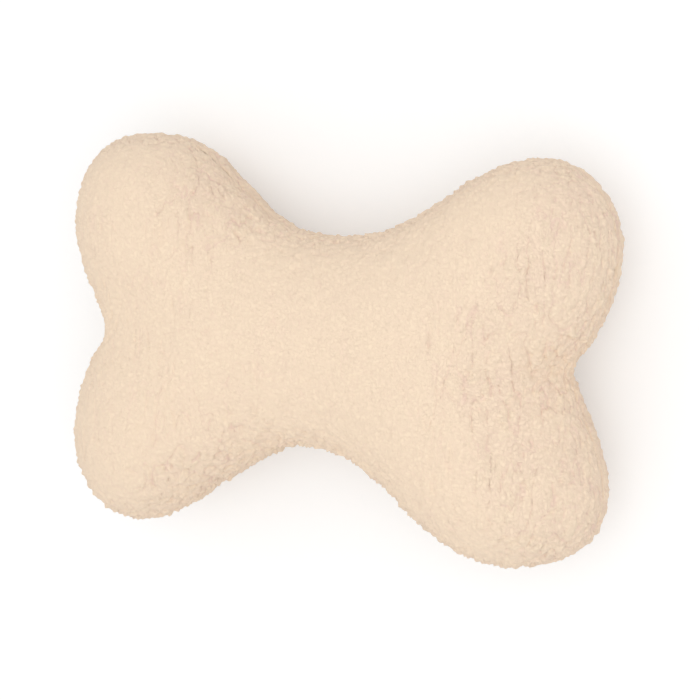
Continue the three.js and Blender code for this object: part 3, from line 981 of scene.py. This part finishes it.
bulb_half_height = (bulb_high.z - bulb_low.z) / 2
bulb_radius = bulb_reach - FIN_WIDTH
bulb_middle = Vector((bulb_low.x + bulb_reach, (bulb_low.y + bulb_high.y) / 2,
                      (bulb_low.z + bulb_high.z) / 2))
bore_radius = SLEEVE_BORE + SLEEVE_WALL + SLEEVE_PLAY
neck_radius = bore_radius + BULB_WALL


def disc_profile(inset):
    """The rounded edge of the disc, from pole to pole."""
    edge = bulb_half_height - inset
    flat = bulb_radius - bulb_half_height
    arc = []
    for step in range(ARC_STEPS + 1):
        angle = math.pi * (step / ARC_STEPS - 0.5)
        arc.append((flat + edge * math.cos(angle), edge * math.sin(angle)))
    return [(0, -edge)] + arc + [(0, edge)]


def fin_profile():
    """The flat fin, with its outer corners taken off."""
    half, reach = FIN_THICKNESS / 2, bulb_radius + FIN_WIDTH
    return [(0, -half), (reach - FIN_ROUND, -half), (reach, FIN_ROUND - half),
            (reach, half - FIN_ROUND), (reach - FIN_ROUND, half), (0, half)]


def rod_profile(radius, length):
    """A plain rod from the bulb's middle outwards."""
    return [(0, 0), (radius, 0), (radius, length), (0, length)]


def squeaker_disc():
    """The hollow disc with its fin and its open neck."""
    mouth = bulb_high.x - bulb_middle.x
    disc = spun(disc_profile(0), "Z", bulb_middle, "disc")
    tools = [(spun(fin_profile(), "Z", bulb_middle, "fin"), "UNION"),
             (spun(rod_profile(neck_radius, mouth), "X", bulb_middle, "neck"), "UNION"),
             (spun(disc_profile(BULB_WALL), "Z", bulb_middle, "hollow"), "DIFFERENCE"),
             (spun(rod_profile(bore_radius, mouth + BULB_WALL), "X", bulb_middle, "bore"),
              "DIFFERENCE")]
    for tool, operation in tools:
        modifier = disc.modifiers.new(tool.name, "BOOLEAN")
        modifier.operation = operation
        modifier.solver = "MANIFOLD"
        modifier.object = tool
    cut = evaluated_mesh(disc, "cut_disc")
    for tool, _ in tools:
        bpy.data.objects.remove(tool)
    shape = bmesh.new()
    shape.from_mesh(cut)
    mesh = mesh_from(shape, "squeaker_disc")
    mesh.shade_smooth()
    return object_from(mesh, "squeaker_disc")


bulb = squeaker_disc()
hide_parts("squeaker_bulb")
print("Squeaker bulb:", len(bulb.data.polygons), "faces, open edges:", open_edges(bulb.data))

# %% [markdown]
# After stuffing, the gap for turning the cover is usually closed by hand. A ladder
# stitch shows only as short rungs of thread that cross the seam at the bottom of its groove.
# A thread could follow one long curve, but the runs between the rungs lie inside the fabric,
# so only the rungs are made. Each takes its place and direction from the seam itself.

# %% Where the rungs lie
GAP_FROM, GAP_TO = -16 * MM, 34 * MM
GAP_MARGIN = 9 * MM
RUNG_SPACING = 4.2 * MM


def seam_line():
    """The seam's points on the side where the gap is, from left to right."""
    line = [cover_mesh.vertices[corner].co.copy() for corner in seam_points(cover_mesh)]
    line = [point for point in line
            if point.y < 0 and GAP_FROM - GAP_MARGIN < point.x < GAP_TO + GAP_MARGIN]
    return sorted(line, key=lambda point: point.x)


def rung_places():
    """Even places on the seam in the gap, each with the direction that the seam has there."""
    places, along, line = [], 0.0, seam_line()
    for start, end in zip(line, line[1:]):
        step = end - start
        while along < step.length:
            place = start + step * (along / step.length)
            if GAP_FROM <= place.x <= GAP_TO:
                places.append((place, step.normalized()))
            along += RUNG_SPACING
        along -= step.length
    return places


rungs_at = rung_places()
print("The gap is closed with", len(rungs_at), "rungs")

# %% [markdown]
# A rung is a small circle of thread, spun part of a turn like a staple with round shoulders.
# It is turned to cross the seam, and it leans a little, as stitches by hand do.

# %% The closing stitches
RUNG_RADIUS = 1.1 * MM
THREAD_RADIUS = 0.22 * MM
THREAD_SIDES = 8
RUNG_STEPS = 10
RUNG_TURN = math.radians(210)
RUNG_SINK = 0.35 * MM
RUNG_LEAN = math.radians(12)
UPWARD = Vector((0, 0, 1))


def rung_mesh(place, along):
    """One rung of thread across the seam."""
    shape = bmesh.new()
    circle = bmesh.ops.create_circle(shape, segments=THREAD_SIDES, radius=THREAD_RADIUS,
                                     cap_ends=True)
    bmesh.ops.translate(shape, verts=circle["verts"], vec=(RUNG_RADIUS, 0, 0))
    bmesh.ops.spin(shape, geom=shape.faces[:], cent=(0, 0, 0), axis=(0, 1, 0), dvec=(0, 0, 0),
                   angle=RUNG_TURN, steps=RUNG_STEPS, use_duplicate=False)
    outward = along.cross(UPWARD).normalized()
    facing = Matrix((outward, UPWARD.cross(outward), UPWARD)).transposed()
    centred = Matrix.Rotation(-RUNG_TURN / 2, 3, "Y")
    lean = Matrix.Rotation(RUNG_LEAN, 3, outward)
    bmesh.ops.rotate(shape, verts=shape.verts[:], cent=(0, 0, 0), matrix=lean @ facing @ centred)
    bmesh.ops.translate(shape, verts=shape.verts[:], vec=place - outward * RUNG_SINK)
    bmesh.ops.recalc_face_normals(shape, faces=shape.faces[:])
    return mesh_from(shape, "rung")


def closing_stitches():
    """All the rungs as one piece."""
    shape = bmesh.new()
    for place, along in rungs_at:
        shape.from_mesh(rung_mesh(place, along))
    mesh = mesh_from(shape, "closing_stitches")
    mesh.shade_smooth()
    return object_from(mesh, "closing_stitches")


stitches = closing_stitches()
print("Stitches:", len(stitches.data.polygons), "faces, open edges:", open_edges(stitches.data))

# %% [markdown]
# The inner pieces are fibre, thread, moulded plastic and a thin film. None of them is one
# flat colour: each has a fine grain in its colour, its gloss and its surface. One node group
# makes that grain, and each material sets its size, which is longer one way for fibre.

# %% A fine grain as a shader group
GRAIN_DETAIL = 4.0
GRAIN_DISTORTION = 0.6
GLOSS_SPREAD = 0.12
BLACK = (0, 0, 0, 1)


def grain_group():
    """A colour, a roughness and a normal that vary a little with a fine noise."""
    group = bpy.data.node_groups.new("fine_grain", "ShaderNodeTree")
    add_sockets(group, "INPUT", Colour="Color", Fleck="Float", Roughness="Float",
                Grain="Vector", Depth="Float")
    add_sockets(group, "OUTPUT", Colour="Color", Roughness="Float", Normal="Vector")
    entry = add_node(group, "NodeGroupInput")
    place = add_node(group, "ShaderNodeTexCoord").outputs["Object"]
    sized = vectors(group, "DIVIDE", place, entry.outputs["Grain"])
    grain = add_node(group, "ShaderNodeTexNoise", sized)
    join(group, 1.0, grain.inputs["Scale"])
    join(group, GRAIN_DETAIL, grain.inputs["Detail"])
    join(group, GRAIN_DISTORTION, grain.inputs["Distortion"])
    value = grain.outputs[0]
    fleck = maths(group, "MULTIPLY", value, entry.outputs["Fleck"])
    colour = mixed_colour(group, fleck, entry.outputs["Colour"], BLACK)
    centred = maths(group, "SUBTRACT", value, MIDDLE_VALUE)
    rough = maths(group, "MULTIPLY_ADD", centred, GLOSS_SPREAD, entry.outputs["Roughness"])
    bump = add_node(group, "ShaderNodeBump")
    join(group, entry.outputs["Depth"], bump.inputs["Distance"])
    join(group, value, bump.inputs["Height"])
    add_node(group, "NodeGroupOutput", colour, rough, bump.outputs[0])
    return group


fine_grain = grain_group()
print("The group", fine_grain.name, "has", len(fine_grain.nodes), "nodes")

# %% [markdown]
# Five materials use the grain. The fibre is matt and strongly flecked, the bulb is softly
# glossy, the whistle is harder and shinier, the reed is a pale, smooth film, and the thread
# has the fleece's colour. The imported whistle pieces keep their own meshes, because hard
# moulded parts are right as they are, and only take their new material.

# %% The finishes inside
FIBRE_SHEEN = 0.2
NO_SHEEN = 0.0


def grained_material(name, sheen, **settings):
    """A material with the fine grain in its colour, gloss and surface."""
    material, tree, surface = new_material(name)
    pattern = add_node(tree, "ShaderNodeGroup", node_tree=fine_grain)
    for setting, value in settings.items():
        pattern.inputs[setting].default_value = value
    join(tree, pattern.outputs["Colour"], surface.inputs["Base Color"])
    join(tree, pattern.outputs["Roughness"], surface.inputs["Roughness"])
    join(tree, pattern.outputs["Normal"], surface.inputs["Normal"])
    surface.inputs["Sheen Weight"].default_value = sheen
    return material


fibre = grained_material(
    "polyester_fibre", FIBRE_SHEEN, Colour=(0.93, 0.93, 0.91, 1), Fleck=0.3, Roughness=0.9,
    Grain=(0.5 * MM, 0.5 * MM, 3 * MM), Depth=0.4 * MM)
soft_plastic = grained_material(
    "soft_bulb_plastic", NO_SHEEN, Colour=(0.88, 0.87, 0.82, 1), Fleck=0.05, Roughness=0.38,
    Grain=(3 * MM, 3 * MM, 3 * MM), Depth=0.03 * MM)
hard_plastic = grained_material(
    "hard_whistle_plastic", NO_SHEEN, Colour=(0.9, 0.9, 0.88, 1), Fleck=0.04, Roughness=0.3,
    Grain=(2 * MM, 2 * MM, 2 * MM), Depth=0.01 * MM)
reed_film = grained_material(
    "thin_reed_film", NO_SHEEN, Colour=(0.8, 0.82, 0.84, 1), Fleck=0.04, Roughness=0.2,
    Grain=(1 * MM, 1 * MM, 1 * MM), Depth=0.005 * MM)
thread = grained_material(
    "sewing_thread", FIBRE_SHEEN, Colour=(0.86, 0.70, 0.52, 1), Fleck=0.3, Roughness=0.8,
    Grain=(0.3 * MM, 0.3 * MM, 0.3 * MM), Depth=0.08 * MM)

for piece, material in [(wad, fibre) for wad in wads] + [(bulb, soft_plastic), (stitches, thread)]:
    piece.data.materials.clear()
    piece.data.materials.append(material)
for node, material in (("whistle_sleeve", hard_plastic), ("whistle_toneboard", hard_plastic),
                       ("whistle_wedge", hard_plastic), ("whistle_reed", reed_film)):
    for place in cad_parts[node].material_slots:
        place.material = material
print("Finishes:", [material.name for material in (fibre, soft_plastic, hard_plastic, reed_film, thread)])

# %% [markdown]
# Panels, filling and stitches ride on the cover, and the disc rides on the bulb. When the
# squeaker is pressed, its disc flattens and the stuffing over it sinks too. A joint can't
# bend fabric, so the soft pieces are squashed: the disc by the whole travel, and the cover
# and filling by a part of it, because the fibre round the disc takes up the rest. The hard
# whistle stays where it is, although a real one would move with the neck. So the pressed disc
# cuts the whistle's sleeve and toneboard, and the pressed filling cuts all four of its pieces.
# That is a known fault. It is hidden inside the closed toy.

for piece in panels + wads:
    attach(piece, "cover")
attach(stitches, "cover")
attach(bulb, "bulb")
for piece in panels + wads + [stitches]:
    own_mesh(piece)
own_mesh(bulb)
